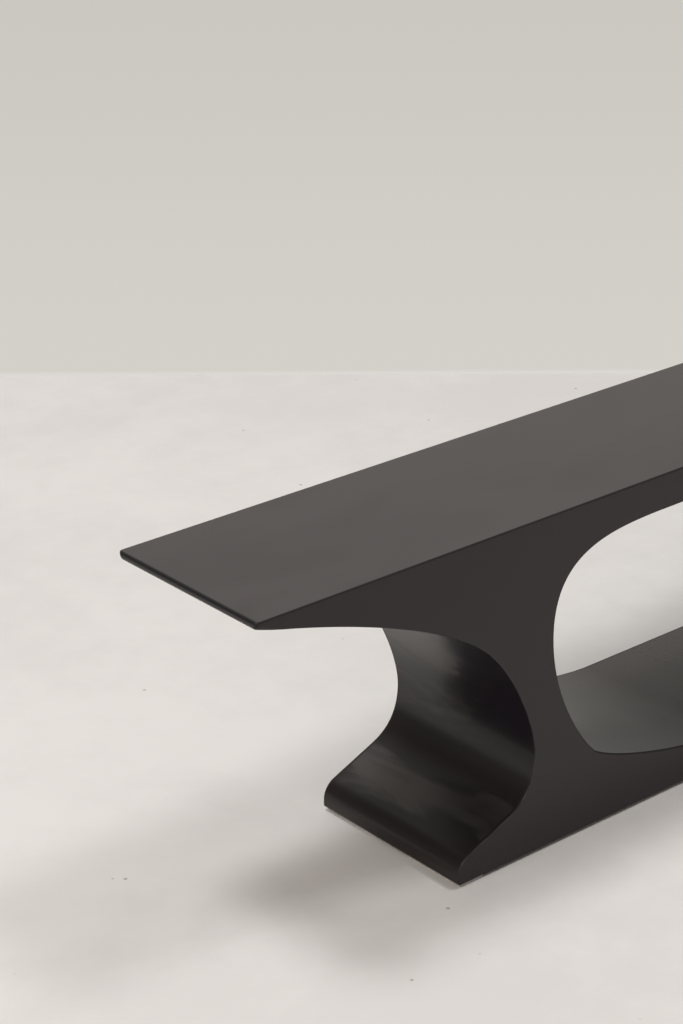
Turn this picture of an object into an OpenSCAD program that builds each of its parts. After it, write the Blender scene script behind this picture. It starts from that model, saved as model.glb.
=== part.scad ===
// A long, low bench of welded steel plate. One profile runs through the whole width:
// a flat seat with thin rounded noses, C-shaped legs, a rail on the floor and a long opening.
// Origin: on the floor, under the middle of the bench. +X runs along it, -Y is the front, +Z is up.
// Distances called "u" are measured inwards from the tip of the nose, the same at both ends.

/* [Overall size] */
// Length, from the tip of one nose to the tip of the other
bench_length = 1829; // [1640:1:2400]
// Width, across the outer faces of the side plates
bench_width = 254; // [200:1:400]
// Height of the seat above the floor
seat_height = 457; // [430:1:520]

/* [Plate and sheet] */
// Thickness of the two side plates
side_plate_t = 4; // [3:0.5:8]
// Thickness of the seat plate
seat_plate_t = 5; // [3:0.5:8]
// Thickness of the rolled skins
skin_t = 3; // [2:0.5:4.5]
// Thickness of the base plate that closes the underside
base_plate_t = 4; // [3:0.5:6]
// Thickness of the ribs inside
rib_t = 3; // [2:0.5:6]

/* [Nose] */
// Thickness of the nose at its tip
nose_t = 11; // [10.5:0.5:18]
// Depth of the solid nose bar behind its tip
nose_depth = 36; // [24:1:60]
// Radius of the nose's upper edge
nose_top_r = 4; // [1:0.5:4]
// Radius of the nose's lower edge
nose_bottom_r = 6; // [2:0.5:6]
// Radius of the nose's corners, seen from above
nose_corner_r = 7; // [1:0.5:12]
// Fall of the underside where it leaves the nose, in degrees
nose_fall = 13; // [8:0.5:16]

/* [Leg, outer curve] */
// Depth of the toe behind the tip of the nose
toe_inset = 306.5; // [270:0.5:360]
// How far the waist of the C lies behind the toe
waist_depth = 125.5; // [105:0.5:150]
// Height of the waist above the floor
waist_height = 140; // [120:1:160]
// How far the haunch lies in front of the waist
haunch_run = 100; // [80:1:120]
// Depth of the haunch below the seat
haunch_drop = 137; // [120:1:150]
// Fall of the underside at the haunch, in degrees
haunch_fall = 36; // [30:0.5:42]
// How far up the foot the instep bend ends, measured in from the toe
instep_run = 81.5; // [70:0.5:90]
// Height of the foot where the instep bend ends
instep_height = 69; // [62:0.5:76]
// Slope of the foot's top, in degrees
foot_slope = 23; // [18:0.5:26]
// Radius of the toe's upper bend
toe_r = 28; // [20:0.5:30]
// Radius of the toe's lower edge
toe_edge_r = 5; // [3:0.5:6]

/* [Opening] */
// Thickness of the seat over the opening
beam_depth = 48; // [40:0.5:56]
// Height of the rail's top above the floor
rail_height = 49.5; // [42:0.5:58]
// How far the cheek of the opening lies behind the waist of the C
cheek_gap = 26.5; // [18:0.5:40]
// Height of the cheek's deepest point above the floor
cheek_height = 297; // [270:1:320]
// How far the opening's ceiling starts behind the cheek
ceiling_run = 214; // [180:1:260]
// How far the opening's lower bend lies behind the cheek
heel_run = 81; // [65:1:100]
// Height of the opening's lower bend above the floor
heel_height = 109; // [95:1:120]
// Slope of the opening's floor at the lower bend, in degrees
heel_slope = 34.5; // [30:0.5:40]
// How far the rail's flat top starts behind the cheek
rail_run = 326; // [260:1:350]

/* [Fullness of the curves, 0 flat to 1 full] */
// Overhang, at the nose
overhang_full_a = 0.35; // [0.25:0.01:0.45]
// Overhang, at the haunch
overhang_full_b = 0.26; // [0.2:0.01:0.4]
// C above the waist, at the haunch
upper_c_full_a = 0.39; // [0.3:0.01:0.5]
// C above the waist, at the waist
upper_c_full_b = 0.23; // [0.2:0.01:0.4]
// C below the waist, at the waist
lower_c_full_a = 0.59; // [0.4:0.01:0.65]
// C below the waist, at the instep
lower_c_full_b = 0.37; // [0.25:0.01:0.45]
// Opening's upper corner, at the ceiling
corner_full_a = 0.55; // [0.4:0.01:0.65]
// Opening's upper corner, at the cheek
corner_full_b = 1; // [0.6:0.01:1]
// Cheek below its deepest point, at that point
cheek_full_a = 0.51; // [0.4:0.01:0.6]
// Cheek below its deepest point, at the lower bend
cheek_full_b = 0.09; // [0.06:0.01:0.3]
// Opening's floor, at the lower bend
floor_full_a = 0.17; // [0.1:0.01:0.3]
// Opening's floor, at the rail
floor_full_b = 0.33; // [0.25:0.01:0.45]
// Straight steps in each curve
curve_steps = 16; // [8:1:24]

/* [Ribs] */
// Distance between the ribs of the seat and of the rail
rib_pitch = 235; // [180:1:240]
// Depth of the overhang's outer rib behind the tip of the nose
overhang_rib_outer_u = 130; // [100:1:160]
// Depth of the overhang's inner rib behind the tip of the nose
overhang_rib_inner_u = 260; // [220:1:290]
// Height of the leg's upper rib above the floor
leg_rib_upper_z = 275; // [250:1:300]
// Height of the leg's lower rib above the floor
leg_rib_lower_z = 150; // [135:1:180]
// How far the toe rib stands behind the toe
toe_rib_run = 66; // [50:1:90]
// Diameter of the vent holes in the ribs
rib_hole_d = 16; // [8:1:18]
// Distance between the vent holes of a rib
rib_hole_pitch = 60; // [40:1:70]
// Length of a tab that plugs into the base plate
tab_length = 30; // [20:1:50]
// Distance between the two tabs of a rib
tab_pitch = 120; // [70:1:140]
// Clearance round a tab in its slot
tab_clearance = 0.25; // [0.1:0.05:1]
// Depth of a tab's end inside its slot
tab_setback = 0.5; // [0:0.1:1.5]
// Diameter of the vent holes in the base plate
vent_hole_d = 12; // [6:1:20]
// How far the vent holes lie behind the toe
vent_hole_run = 150; // [110:1:200]

/* [Pads] */
// Thickness of the pads under the foot
pad_t = 4; // [2:0.5:6]
// Length of a pad, across the bench
pad_length = 98; // [60:1:98]
// Width of a pad, along the bench
pad_width = 40; // [20:1:60]
// Corner radius of a pad
pad_r = 4; // [1:0.5:8]
// Distance of a pad from the outer face of the side plate
pad_side_inset = 2; // [1:0.5:20]
// Distance of a pad from the toe's lower edge
pad_toe_inset = 0.5; // [0.5:0.5:20]

/* [Hidden] */
half_length = bench_length / 2;
inner_width = bench_width - 2 * side_plate_t;
side_plate_y = (bench_width - side_plate_t) / 2;
seat_under_z = seat_height - seat_plate_t;
base_top_z = pad_t + base_plate_t;
arc_steps = 8;

// Key points of the profile, as [u, z]
nose_under = [nose_bottom_r * (1 - sin(nose_fall)), seat_height - nose_t];
waist = [toe_inset + waist_depth, waist_height];
haunch = [waist[0] - haunch_run, seat_height - haunch_drop];
instep = [toe_inset + instep_run, instep_height];
cheek = [waist[0] + cheek_gap, cheek_height];
ceiling_start = [cheek[0] + ceiling_run, seat_height - beam_depth];
heel = [cheek[0] + heel_run, heel_height];
rail_start = [cheek[0] + rail_run, rail_height];
// The lower edge of the toe is never sharper than the skin that is bent round it
toe_lower_r = max(toe_edge_r, skin_t + 0.5);

// Windows that pick one stretch of the hollow for a rib
opening_mid_z = (cheek_height + heel_height) / 2;
window_reach = seat_height;

STEEL = [0.22, 0.21, 0.2];
INNER_STEEL = [0.42, 0.42, 0.43];
FELT = [0.62, 0.61, 0.59];

// A path is a list of stations. A station is [point, direction of travel], in u and z.
function heading(angle) = [cos(angle), sin(angle)];
function left_of(direction) = [-direction[1], direction[0]];
function points(path, shift = 0) = [for (s = path) s[0] + shift * left_of(s[1])];
function flipped(list) = [for (i = [len(list) - 1 : -1 : 0]) list[i]];
function mirrored(path) = [for (s = flipped(path)) [[-s[0][0], s[0][1]], [s[1][0], -s[1][1]]]];
function from_middle(path) = [for (s = path) [s[0] - [half_length, 0], s[1]]];

// A smooth curve between two points with given directions. Each end's fullness is how much of the
// way across, along that end's own direction, its tangent pulls the curve.
function curve_handles(p, dir_p, q, dir_q, full_p, full_q) = [
    p,
    p + full_p * ((q - p) * dir_p) * dir_p,
    q - full_q * ((q - p) * dir_q) * dir_q,
    q
];
function curve_point(h, t) =
    pow(1 - t, 3) * h[0] + 3 * pow(1 - t, 2) * t * h[1] + 3 * (1 - t) * t * t * h[2] + pow(t, 3) * h[3];
function curve_slope(h, t) =
    pow(1 - t, 2) * (h[1] - h[0]) + 2 * (1 - t) * t * (h[2] - h[1]) + t * t * (h[3] - h[2]);
function curve(p, dir_p, q, dir_q, full_p, full_q) =
    let (h = curve_handles(p, dir_p, q, dir_q, full_p, full_q))
    [for (i = [0 : curve_steps])
        let (t = i / curve_steps, s = curve_slope(h, t)) [curve_point(h, t), s / norm(s)]];
// An arc of a circle. The turn is positive to the left of the direction of travel.
function arc(centre, radius, from, turn) =
    [for (i = [0 : arc_steps])
        let (a = from + turn * i / arc_steps) [centre + radius * heading(a), heading(a + 90 * sign(turn))]];

// The nose: from the flat of the seat round the tip to the underside
nose_path = concat(
    arc([nose_top_r, seat_height - nose_top_r], nose_top_r, 90, 90),
    arc([nose_bottom_r, nose_under[1] + nose_bottom_r * cos(nose_fall)], nose_bottom_r, 180, 90 - nose_fall)
);

// The overhang's underside, from the nose to the haunch
overhang_path = curve(
    nose_under, heading(-nose_fall), haunch, heading(-haunch_fall), overhang_full_a, overhang_full_b);

// The C of the leg, from the haunch round the waist to the instep
down = [0, -1];
foot_heading = heading(180 + foot_slope);
leg_path = concat(
    curve(haunch, heading(-haunch_fall), waist, down, upper_c_full_a, upper_c_full_b),
    [for (i = [1 : curve_steps])
        curve(waist, down, instep, foot_heading, lower_c_full_a, lower_c_full_b)[i]]
);

// The foot's straight top, the toe's bend, its short upright face and its lower edge.
// The bend touches the foot's top line and the upright at the toe.
toe_bend_u = toe_inset + toe_r;
toe_bend_z = instep[1] - toe_r / cos(foot_slope) - (instep[0] - toe_bend_u) * tan(foot_slope);
toe_path = concat(
    [[instep, foot_heading]],
    arc([toe_bend_u, toe_bend_z], toe_r, 90 + foot_slope, 90 - foot_slope),
    arc([toe_inset + toe_lower_r, pad_t + toe_lower_r], toe_lower_r, 180, 90)
);

// The opening, from the ceiling round the left cheek to the flat of the rail
cheek_path = concat(
    curve(ceiling_start, [-1, 0], cheek, down, corner_full_a, corner_full_b),
    [for (i = [1 : curve_steps])
        curve(cheek, down, heel, heading(-heel_slope), cheek_full_a, cheek_full_b)[i]]
);
heel_path = curve(heel, heading(-heel_slope), rail_start, [1, 0], floor_full_a, floor_full_b);
left_floor = from_middle(heel_path);
rail_path = concat(left_floor, mirrored(left_floor));

// One end of the outer profile, and one end of the opening
outer_path = concat(overhang_path, leg_path, toe_path);
opening_path = concat(cheek_path, heel_path);

// Extrudes a shape drawn in x and z across the bench
module across(width, y = 0) {
    translate([0, y, 0])
        rotate([90, 0, 0])
            linear_extrude(height = width, center = true)
                children();
}

// Places what is drawn in u and z at the left end (side -1) or the right end (side 1)
module at_end(side) {
    mirror([side > 0 ? 1 : 0, 0, 0])
        translate([-half_length, 0, 0])
            children();
}

// The area between a path and the same path moved in by the thickness of the sheet
module sheet_outline(path, thickness) {
    polygon(concat(points(path), flipped(points(path, thickness))));
}

// The whole profile below a given height, moved in by a distance, without the opening
module profile(top_z, bottom_z, shift) {
    left = points(from_middle(outer_path), shift);
    right = points(mirrored(from_middle(outer_path)), shift);
    intersection() {
        polygon(concat(
            [[left[0][0], seat_height]], left, right, [[right[len(right) - 1][0], seat_height]]));
        translate([-half_length, bottom_z])
            square([bench_length, top_z - bottom_z]);
    }
}

// The opening, widened by a distance
module opening_outline(shift) {
    left = points(from_middle(opening_path), -shift);
    right = points(mirrored(from_middle(opening_path)), -shift);
    polygon(concat(left, right));
}

// The hollow between the skins, the seat plate and the base plate
module hollow() {
    difference() {
        profile(seat_under_z, base_top_z, skin_t);
        opening_outline(skin_t);
    }
}

// A side plate, cut to the profile between the nose bars
module side_plate(y) {
    across(side_plate_t, y)
        difference() {
            intersection() {
                profile(seat_under_z, pad_t, 0);
                translate([nose_depth - half_length, 0])
                    square([bench_length - 2 * nose_depth, seat_height]);
            }
            opening_outline(0);
        }
}

// A skin between the side plates, rolled along a path
module skin(path) {
    across(inner_width)
        sheet_outline(path, skin_t);
}

// The nose bar's cross-section, from the tip to its flat back
module nose_section() {
    intersection() {
        polygon(concat(
            [[bench_length / 2, seat_height]], points(nose_path), points(overhang_path), [[haunch[0], seat_height]]));
        square([nose_depth, seat_height]);
    }
}

// The nose bar seen from above, with its two front corners eased
module nose_plan() {
    half = bench_width / 2;
    near = half - nose_corner_r;
    polygon(concat(
        [[nose_depth, half]],
        [for (s = arc([nose_corner_r, near], nose_corner_r, 90, 90)) s[0]],
        [for (s = arc([nose_corner_r, -near], nose_corner_r, 180, 90)) s[0]],
        [[nose_depth, -half]]));
}

module nose_bar(side) {
    color(STEEL)
        at_end(side)
            intersection() {
                across(bench_width)
                    nose_section();
                linear_extrude(height = seat_height)
                    nose_plan();
            }
}

module front_side_plate() {
    color(STEEL)
        side_plate(-side_plate_y);
}

module rear_side_plate() {
    color(STEEL)
        side_plate(side_plate_y);
}

module seat_plate() {
    color(STEEL)
        translate([nose_depth - half_length, -bench_width / 2, seat_under_z])
            cube([bench_length - 2 * nose_depth, bench_width, seat_plate_t]);
}

module overhang_skin(side) {
    color(STEEL)
        at_end(side)
            intersection() {
                skin(overhang_path);
                translate([nose_depth, -bench_width / 2, 0])
                    cube([haunch[0], bench_width, seat_under_z]);
            }
}

module leg_skin(side) {
    color(STEEL)
        at_end(side)
            skin(leg_path);
}

module toe_skin(side) {
    color(STEEL)
        at_end(side)
            skin(toe_path);
}

module cheek_skin(side) {
    color(STEEL)
        at_end(side)
            across(inner_width)
                sheet_outline(cheek_path, -skin_t);
}

module ceiling_skin() {
    ceiling_length = bench_length - 2 * ceiling_start[0];
    color(STEEL)
        translate([-ceiling_length / 2, -inner_width / 2, ceiling_start[1]])
            cube([ceiling_length, inner_width, skin_t]);
}

module rail_skin() {
    color(STEEL)
        across(inner_width)
            sheet_outline(rail_path, -skin_t);
}

// Slots for the tabs of the ribs that stand on the base plate, at one place along the bench
module tab_slots(x) {
    for (y = [-tab_pitch / 2, tab_pitch / 2])
        translate([x, y, base_top_z - base_plate_t / 2])
            cube([rib_t + 2 * tab_clearance, tab_length + 2 * tab_clearance, 2 * base_plate_t], center = true);
}

module base_plate() {
    plate_length = bench_length - 2 * (toe_inset + toe_lower_r);
    toe_rib_x = half_length - toe_inset - toe_rib_run;
    vent_x = half_length - toe_inset - vent_hole_run;
    color(STEEL)
        difference() {
            translate([-plate_length / 2, -inner_width / 2, pad_t])
                cube([plate_length, inner_width, base_plate_t]);
            for (x = [-toe_rib_x, -rib_pitch, 0, rib_pitch, toe_rib_x])
                tab_slots(x);
            for (x = [-vent_x, vent_x])
                translate([x, 0, 0])
                    cylinder(h = base_top_z + 1, d = vent_hole_d, $fn = 32);
        }
}

// A row of vent holes through an upright rib, or through a level one
module rib_holes(x, z, upright) {
    for (i = [-1 : 1])
        translate([x, i * rib_hole_pitch, z])
            rotate([0, upright ? 90 : 0, 0])
                cylinder(h = 4 * rib_t, d = rib_hole_d, center = true, $fn = 32);
}

// The stretch of the hollow inside a window, as a plate between the side plates
module rib_blank(x, z, size_x, size_z) {
    across(inner_width)
        intersection() {
            hollow();
            translate([x, z])
                square([size_x, size_z]);
        }
}

// Two tabs under a rib that stands on the base plate
module rib_tabs(x) {
    for (y = [-tab_pitch / 2, tab_pitch / 2])
        translate([x - rib_t / 2, y - tab_length / 2, pad_t + tab_setback])
            cube([rib_t, tab_length, base_plate_t]);
}

// The middle of the free height at x between the seat plate and the skin below it
function overhang_mid(u) = (lookup(u, points(overhang_path, skin_t)) + seat_under_z) / 2;
// The middle of the free width at height z between the C of the leg and the cheek
function leg_mid(z) =
    (lookup(z, [for (p = flipped(points(leg_path, skin_t))) [p[1], p[0]]])
        + lookup(z, [for (p = flipped(points(cheek_path, -skin_t))) [p[1], p[0]]])) / 2;

module seat_rib(x) {
    beam_mid_z = (ceiling_start[1] + skin_t + seat_under_z) / 2;
    color(INNER_STEEL)
        difference() {
            rib_blank(x - rib_t / 2, opening_mid_z, rib_t, window_reach);
            rib_holes(x, beam_mid_z, true);
        }
}

module rail_rib(x) {
    rail_mid_z = (base_top_z + rail_height - skin_t) / 2;
    color(INNER_STEEL)
        difference() {
            union() {
                rib_blank(x - rib_t / 2, 0, rib_t, opening_mid_z);
                rib_tabs(x);
            }
            rib_holes(x, rail_mid_z, true);
        }
}

module overhang_rib(side, u) {
    x = u - half_length;
    color(INNER_STEEL)
        mirror([side > 0 ? 1 : 0, 0, 0])
            difference() {
                rib_blank(x - rib_t / 2, 0, rib_t, window_reach);
                rib_holes(x, overhang_mid(u), true);
            }
}

module leg_rib(side, z) {
    x = leg_mid(z) - half_length;
    color(INNER_STEEL)
        mirror([side > 0 ? 1 : 0, 0, 0])
            difference() {
                rib_blank(toe_inset - half_length, z - rib_t / 2, cheek[0] + heel_run - toe_inset, rib_t);
                rib_holes(x, z, false);
            }
}

module toe_rib(side) {
    x = toe_inset + toe_rib_run - half_length;
    rib_top_z = instep[1] - (instep_run - toe_rib_run) * tan(foot_slope) - skin_t;
    color(INNER_STEEL)
        mirror([side > 0 ? 1 : 0, 0, 0])
            difference() {
                union() {
                    rib_blank(x - rib_t / 2, 0, rib_t, waist_height);
                    rib_tabs(x);
                }
                rib_holes(x, (base_top_z + rib_top_z) / 2, true);
            }
}

// A pad under one corner of the foot: side along the bench, face across it
module pad(side, face) {
    color(FELT)
        mirror([side > 0 ? 1 : 0, 0, 0])
            mirror([0, face > 0 ? 1 : 0, 0])
                translate([
                    toe_inset + toe_lower_r + pad_toe_inset - half_length,
                    pad_side_inset - bench_width / 2,
                    0
                ])
                    linear_extrude(height = pad_t)
                        polygon([for (c = [[0, 0, 180], [1, 0, 270], [1, 1, 0], [0, 1, 90]])
                            for (s = arc(
                                [pad_r + c[0] * (pad_width - 2 * pad_r), pad_r + c[1] * (pad_length - 2 * pad_r)],
                                pad_r, c[2], 90)) s[0]]);
}

front_side_plate();
rear_side_plate();
seat_plate();
nose_bar(-1);  // left_nose_bar
nose_bar(1);  // right_nose_bar
overhang_skin(-1);  // left_overhang_skin
overhang_skin(1);  // right_overhang_skin
leg_skin(-1);  // left_leg_skin
leg_skin(1);  // right_leg_skin
toe_skin(-1);  // left_toe_skin
toe_skin(1);  // right_toe_skin
ceiling_skin();
cheek_skin(-1);  // left_cheek_skin
cheek_skin(1);  // right_cheek_skin
rail_skin();
base_plate();
seat_rib(-rib_pitch);  // left_seat_rib
seat_rib(0);  // middle_seat_rib
seat_rib(rib_pitch);  // right_seat_rib
rail_rib(-rib_pitch);  // left_rail_rib
rail_rib(0);  // middle_rail_rib
rail_rib(rib_pitch);  // right_rail_rib
overhang_rib(-1, overhang_rib_outer_u);  // left_outer_overhang_rib
overhang_rib(-1, overhang_rib_inner_u);  // left_inner_overhang_rib
overhang_rib(1, overhang_rib_outer_u);  // right_outer_overhang_rib
overhang_rib(1, overhang_rib_inner_u);  // right_inner_overhang_rib
leg_rib(-1, leg_rib_upper_z);  // left_upper_leg_rib
leg_rib(-1, leg_rib_lower_z);  // left_lower_leg_rib
leg_rib(1, leg_rib_upper_z);  // right_upper_leg_rib
leg_rib(1, leg_rib_lower_z);  // right_lower_leg_rib
toe_rib(-1);  // left_toe_rib
toe_rib(1);  // right_toe_rib
pad(-1, -1);  // front_left_pad
pad(1, -1);  // front_right_pad
pad(-1, 1);  // rear_left_pad
pad(1, 1);  // rear_right_pad
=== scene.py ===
"""A long, low bench of welded steel plate, blackened and waxed, standing on a pale floor.

One profile runs through the whole width. Distances called u are measured inwards from the tip
of a nose, the same at both ends. Everything is in metres: +X runs along the bench, -Y is its front
and +Z is up, with the origin on the floor under the middle of the bench.
"""

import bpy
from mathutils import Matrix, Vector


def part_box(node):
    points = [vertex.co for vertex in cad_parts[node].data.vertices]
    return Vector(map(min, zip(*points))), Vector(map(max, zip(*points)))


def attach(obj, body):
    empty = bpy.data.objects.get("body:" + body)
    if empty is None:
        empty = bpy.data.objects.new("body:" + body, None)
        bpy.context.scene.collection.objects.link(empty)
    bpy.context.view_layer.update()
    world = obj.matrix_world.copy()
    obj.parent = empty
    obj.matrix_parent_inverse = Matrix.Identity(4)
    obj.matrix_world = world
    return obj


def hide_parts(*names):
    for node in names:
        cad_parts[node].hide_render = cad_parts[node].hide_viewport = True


bl_info = {
    "name": "Blackened steel bench",
    "version": (1, 0, 0),
    "blender": (4, 5, 0),
    "location": "3D View > Sidebar > Bench",
    "description": "Ground and eased steel skins, felt pads and a pale stage for a long welded bench",
    "category": "Add Mesh",
}

import math

import bpy
import numpy as np
from mathutils import Matrix, Vector
from mathutils.geometry import tessellate_polygon

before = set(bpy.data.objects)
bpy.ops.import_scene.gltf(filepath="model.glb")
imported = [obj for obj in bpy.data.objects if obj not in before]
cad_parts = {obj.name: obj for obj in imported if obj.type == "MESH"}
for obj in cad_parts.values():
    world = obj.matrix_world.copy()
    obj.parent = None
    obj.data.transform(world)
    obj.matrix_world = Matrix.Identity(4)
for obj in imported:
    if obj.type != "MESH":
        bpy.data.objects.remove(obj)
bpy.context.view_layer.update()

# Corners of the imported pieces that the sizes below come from
SEAT_LOW, SEAT_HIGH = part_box("seat_plate")
NOSE_LOW, NOSE_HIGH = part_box("left_nose_bar")
PLATE_LOW, PLATE_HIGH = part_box("front_side_plate")
CEILING_LOW, CEILING_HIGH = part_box("ceiling_skin")
TOE_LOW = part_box("left_toe_skin")[0]
RAIL_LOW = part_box("rail_skin")[0]
PAD_LOW, PAD_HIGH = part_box("front_left_pad")

BODY = "root"
STEEL_SLOT = "blackened_steel"
FELT_SLOT = "pad_felt"
PLATE_FINISH = "blackened plate"
SKIN_FINISH = "blackened rolled skin"
MILL_FINISH = "bare mill steel"

LEFT = -1
RIGHT = 1
FRONT = -1
REAR = 1
ENDS = ((LEFT, "left"), (RIGHT, "right"))
FACES = ((FRONT, "front"), (REAR, "rear"))
QUARTER = math.pi / 2

# Steps in a curve, in a bend and in an eased arris, and how near two points count as one
CURVE_STEPS = 56
BEND_STEPS = 14
ARRIS_STEPS = 6
WELD = 1e-6

# Each point of a mesh has a mark: 0 on plain steel, or how its edge is painted: worn and lighter,
# partly a painted highlight, or dark with painted shade, matt on arrises and smooth at the nose's
# tip. Then the mark from which a dark edge is smooth again, and how much rougher a matt one is
# than plain steel
EDGE = "edge"
RUBBED_HIGHLIGHT = 1.0
MATT_SHADE_EDGE = -1.0
SMOOTH_SHADE_TIP = -2.0
SMOOTH_FROM = -1.6
MATT_EDGE = 0.35

# Nose bar: rings along its flat part, how fast its lower corners sharpen behind the tip, and
# the most of its height that its upper and lower corners take up
NOSE_RINGS = 9
NOSE_SHARPENING = 1.5
UPPER_SHARE = 0.24
LOWER_SHARE = 0.75

# Felt pad: its corners, the spacing and the levels of its points, how much its normals lean,
# and the waves of its cut edge, in radians a metre along x and y
PAD_CORNER_R = 0.004
PAD_SPACING = 0.0012
PAD_LEVELS = 7
PAD_LEAN = 0.8
PAD_WAVES = ((2900.0, 1700.0), (-1300.0, 4100.0))

# Heights, in metres, that the finishes' bumps stand for
WAX_GRAIN = 0.000002
WAX_SWELLS = 0.0006
MILL_STREAKS = 0.00001
FELT_FIBRES = 0.00025

# Smoky patina and painted reflection on the rolled skins: from one height to the next they get
# this much paler or darker
SMOKE_AND_REFLECTION_BY_HEIGHT = (
    (0.016, 0.032, -0.30), (0.040, 0.055, 1.20), (0.062, 0.077, -1.35), (0.098, 0.118, 0.42),
    (0.150, 0.175, 0.08), (0.195, 0.225, 1.15))

# Stage: the camera's sensor, the photograph's height in pixels, how far the camera and the floor
# reach, half the wall's width and its height, how far off the lamps stand, how far behind the
# left nose's tip they aim, and the shade of the floor's smudges
SENSOR_MM = 36.0
PHOTO_HEIGHT = 1024
VIEW_REACH = 200.0
FLOOR_REACH = 60.0
WALL_HALF_WIDTH = 6.0
WALL_HEIGHT = 3.2
LAMP_DISTANCE = 9.0
LAMP_AIM = 0.17
SMUDGED = 0.93


def setting(kind, **limits):
    def declare(name, description, default):
        return kind(name=name, description=description, default=default, **limits)
    return declare


length = setting(
    bpy.props.FloatProperty, soft_min=0.0, precision=4, subtype="DISTANCE", unit="LENGTH")
rotation = setting(bpy.props.FloatProperty, precision=3, subtype="ANGLE", unit="ROTATION")
share = setting(bpy.props.FloatProperty, min=0.0, max=1.0, subtype="FACTOR")
amount = setting(bpy.props.FloatProperty, min=0.0)
tone = setting(bpy.props.FloatVectorProperty, min=0.0, max=1.0, size=3, subtype="COLOR")


def angle(name, description, degrees):
    """A rotation that is given in degrees."""
    return rotation(name, description, math.radians(degrees))


def fullness(part, place, default):
    """How full one curve of the profile is at one of its ends."""
    return share(f"{part} at {place}", f"How full the curve is at {place}", default)


class BenchSizes(bpy.types.PropertyGroup):
    """Overall sizes and thicknesses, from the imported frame, and the radii of eased edges."""

    bench_length: length("Bench length", "From the tip of one nose to the other", -2 * NOSE_LOW.x)
    bench_width: length("Bench width", "Across the side plates", SEAT_HIGH.y - SEAT_LOW.y)
    seat_height: length("Seat height", "Height of the seat's top", SEAT_HIGH.z)
    side_plate_t: length("Side plate", "Thickness", PLATE_HIGH.y - PLATE_LOW.y)
    seat_plate_t: length("Seat plate", "Thickness", SEAT_HIGH.z - SEAT_LOW.z)
    skin_t: length("Rolled skin", "Thickness", CEILING_HIGH.z - CEILING_LOW.z)
    pad_t: length("Pad", "Thickness", PAD_HIGH.z - PAD_LOW.z)
    nose_depth: length("Nose bar", "Depth behind its tip", NOSE_HIGH.x - NOSE_LOW.x)
    arris: length("Arris", "Radius of the side plates' outer rims", 0.0014)
    seat_arris: length("Seat arris", "Radius of the seat's long edges and the opening's rims", 0.0025)
    nose_keel: length("Nose keel", "Radius of the nose's lower corners, seen from its tip", 0.0082)


class BenchProfile(bpy.types.PropertyGroup):
    """The driving dimensions of the profile."""

    nose_t: length("Nose", "Thickness at its tip", 0.011)
    nose_top_r: length("Nose top", "Radius of its upper edge", 0.004)
    nose_bottom_r: length("Nose bottom", "Radius of its lower edge", 0.006)
    nose_corner_r: length("Nose corner", "Radius of its corners, seen from above", 0.007)
    nose_fall: angle("Nose fall", "Fall of the underside where it leaves the nose", 13)
    toe_inset: length("Toe inset", "Depth behind the tip of the nose", TOE_LOW.x - NOSE_LOW.x)
    waist_depth: length("Waist depth", "Depth of the waist of the C behind the toe", 0.1255)
    waist_height: length("Waist height", "Height above the floor", 0.140)
    haunch_run: length("Haunch run", "How far it lies in front of the waist", 0.100)
    haunch_drop: length("Haunch drop", "Depth below the seat", 0.137)
    haunch_fall: angle("Haunch fall", "Fall of the underside there", 36)
    instep_run: length("Instep run", "How far behind the toe its bend ends", 0.0815)
    instep_height: length("Instep height", "Height where its bend ends", 0.069)
    foot_slope: angle("Foot slope", "Slope of the foot's top", 23)
    toe_r: length("Toe bend", "Radius of its upper bend", 0.028)
    toe_edge_r: length("Toe edge", "Radius of its lower edge", 0.005)
    beam_depth: length("Beam depth", "Thickness over the opening", SEAT_HIGH.z - CEILING_LOW.z)
    rail_height: length(
        "Rail height", "Height of its top", RAIL_LOW.z + CEILING_HIGH.z - CEILING_LOW.z)
    cheek_gap: length("Cheek gap", "How far it lies behind the waist of the C", 0.0265)
    cheek_height: length("Cheek height", "Height of its deepest point", 0.297)
    ceiling_run: length("Ceiling run", "How far it starts behind the cheek", 0.214)
    heel_run: length("Heel run", "How far the opening's lower bend lies behind the cheek", 0.081)
    heel_height: length("Heel height", "Height of the opening's lower bend", 0.109)
    heel_slope: angle("Heel slope", "Slope of the opening's floor there", 34.5)
    rail_run: length("Rail run", "How far its flat top starts behind the cheek", 0.326)
    overhang_full_a: fullness("Overhang", "the nose", 0.35)
    overhang_full_b: fullness("Overhang", "the haunch", 0.26)
    upper_c_full_a: fullness("Upper C", "the haunch", 0.39)
    upper_c_full_b: fullness("Upper C", "the waist", 0.23)
    lower_c_full_a: fullness("Lower C", "the waist", 0.59)
    lower_c_full_b: fullness("Lower C", "the instep", 0.37)
    corner_full_a: fullness("Corner", "the ceiling", 0.55)
    corner_full_b: fullness("Corner", "the cheek", 1.0)
    cheek_full_a: fullness("Cheek", "its deepest point", 0.51)
    cheek_full_b: fullness("Cheek", "the lower bend", 0.09)
    floor_full_a: fullness("Floor", "the lower bend", 0.17)
    floor_full_b: fullness("Floor", "the rail", 0.33)


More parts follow.
